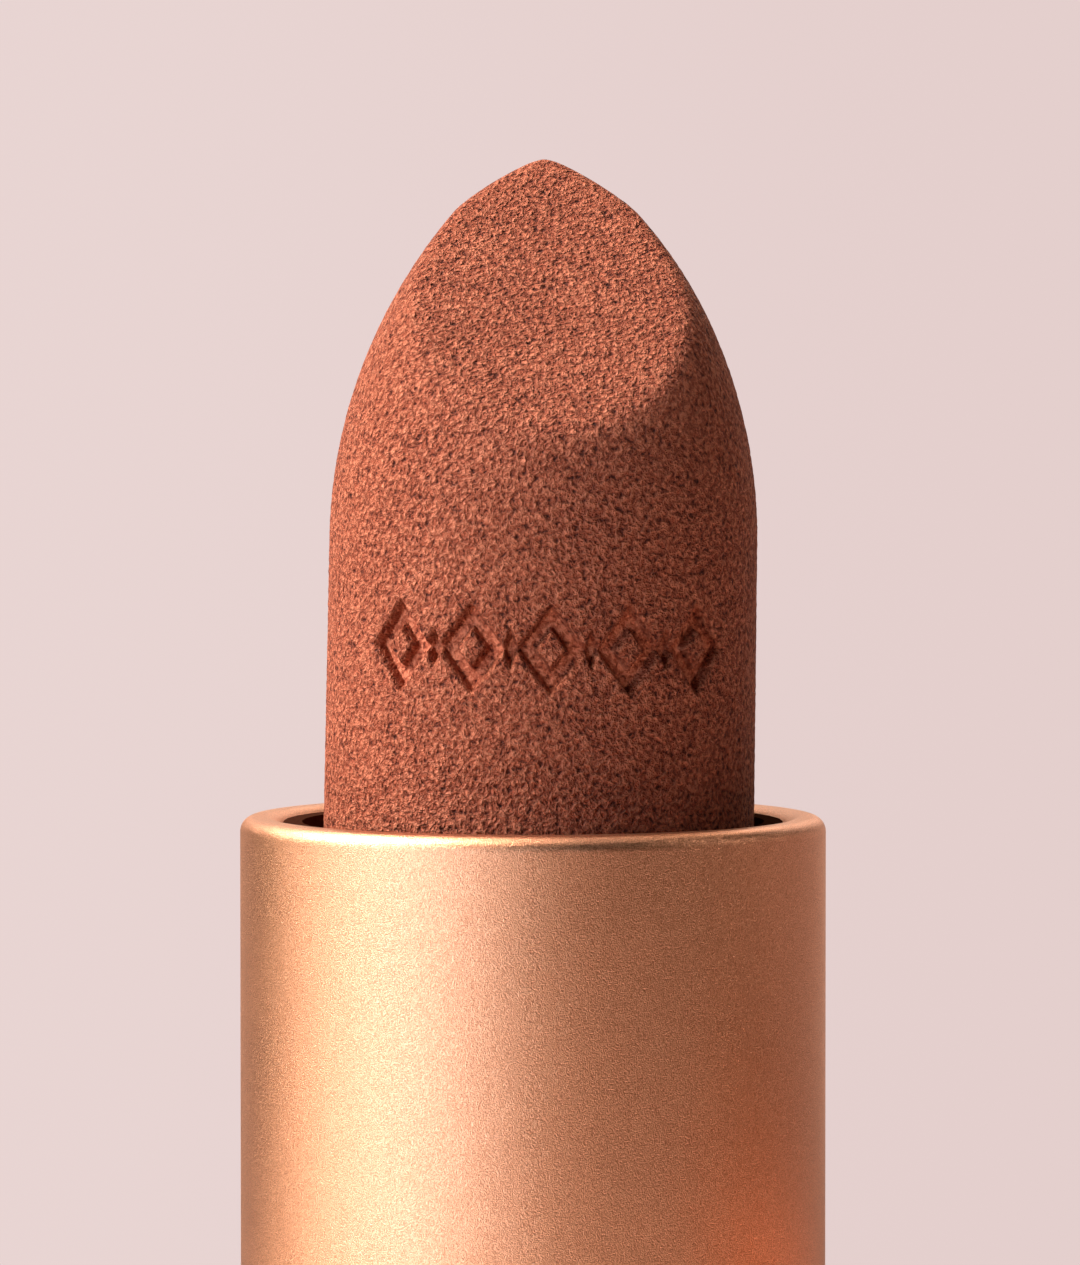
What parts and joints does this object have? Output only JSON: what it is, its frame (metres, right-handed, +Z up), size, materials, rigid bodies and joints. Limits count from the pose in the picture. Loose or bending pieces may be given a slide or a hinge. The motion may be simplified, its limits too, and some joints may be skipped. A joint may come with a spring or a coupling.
{
  "type": "lipstick case",
  "caption": "Twist-up lipstick case in satin rose-gold metal with a slanted brick-brown stick raised above its rounded rim, and a pull-off cap standing beside it.",
  "frame": {"origin": "centre of the case's flat underside, on the axis of the sleeve and stick", "axes": "+Z up along the axis the sleeve turns about, -Y towards the front that the stick's slanted face looks to, +X towards the cap standing beside the case"},
  "size_m": [0.0456, 0.0196, 0.0766],
  "materials": {
    "satin_rose_gold": "fine sandblasted and anodised, satin",
    "polished_rose_gold": "polished and anodised",
    "brick_wax": "matte wax with fine grain and pores",
    "dark_plastic": "smooth moulded",
    "pale_acetal": "fine moulded, slightly waxy",
    "black_plastic": "matte moulded",
    "grey_silicone": "soft matte silicone",
    "white_fluoropolymer": "smooth low-friction",
    "plain_steel": "turned, unplated",
    "label_film": "plain satin film, no print"
  },
  "bodies": {
    "base": {"base_shell": "satin_rose_gold", "shade_label": "label_film", "base_weight": "plain_steel", "base_core": "black_plastic", "inner_body": "dark_plastic", "slip_washer": "white_fluoropolymer", "lower_brake_ring": "grey_silicone", "upper_brake_ring": "grey_silicone", "neck_ring": "dark_plastic", "trim_ring": "polished_rose_gold"},
    "sleeve": {"sleeve_shell": "satin_rose_gold", "cam_tube": "dark_plastic"},
    "carrier": {"carrier_cup": "pale_acetal", "lipstick_stick": "brick_wax"},
    "cap": {"cap_shell": "satin_rose_gold", "cap_liner": "dark_plastic", "cap_weight": "plain_steel"}
  },
  "joints": [
    {"name": "twist", "type": "hinge", "parent": "base", "child": "sleeve", "pos_m": [0, 0, 0.04], "axis": [0, 0, 1], "range_deg": [-445.5, 67.5]},
    {"name": "lift", "type": "slide", "parent": "base", "child": "carrier", "axis": [0, 0, 1], "range_m": [-0.01981, 0.00301]},
    {"name": "cap_lift", "type": "slide", "parent": "base", "child": "cap", "axis": [0, 0, 1], "range_m": [0, 0.06]}
  ],
  "couplings": [
    {"joint": "lift", "follows": "twist", "m_per_rad": 0.0025465}
  ]
}
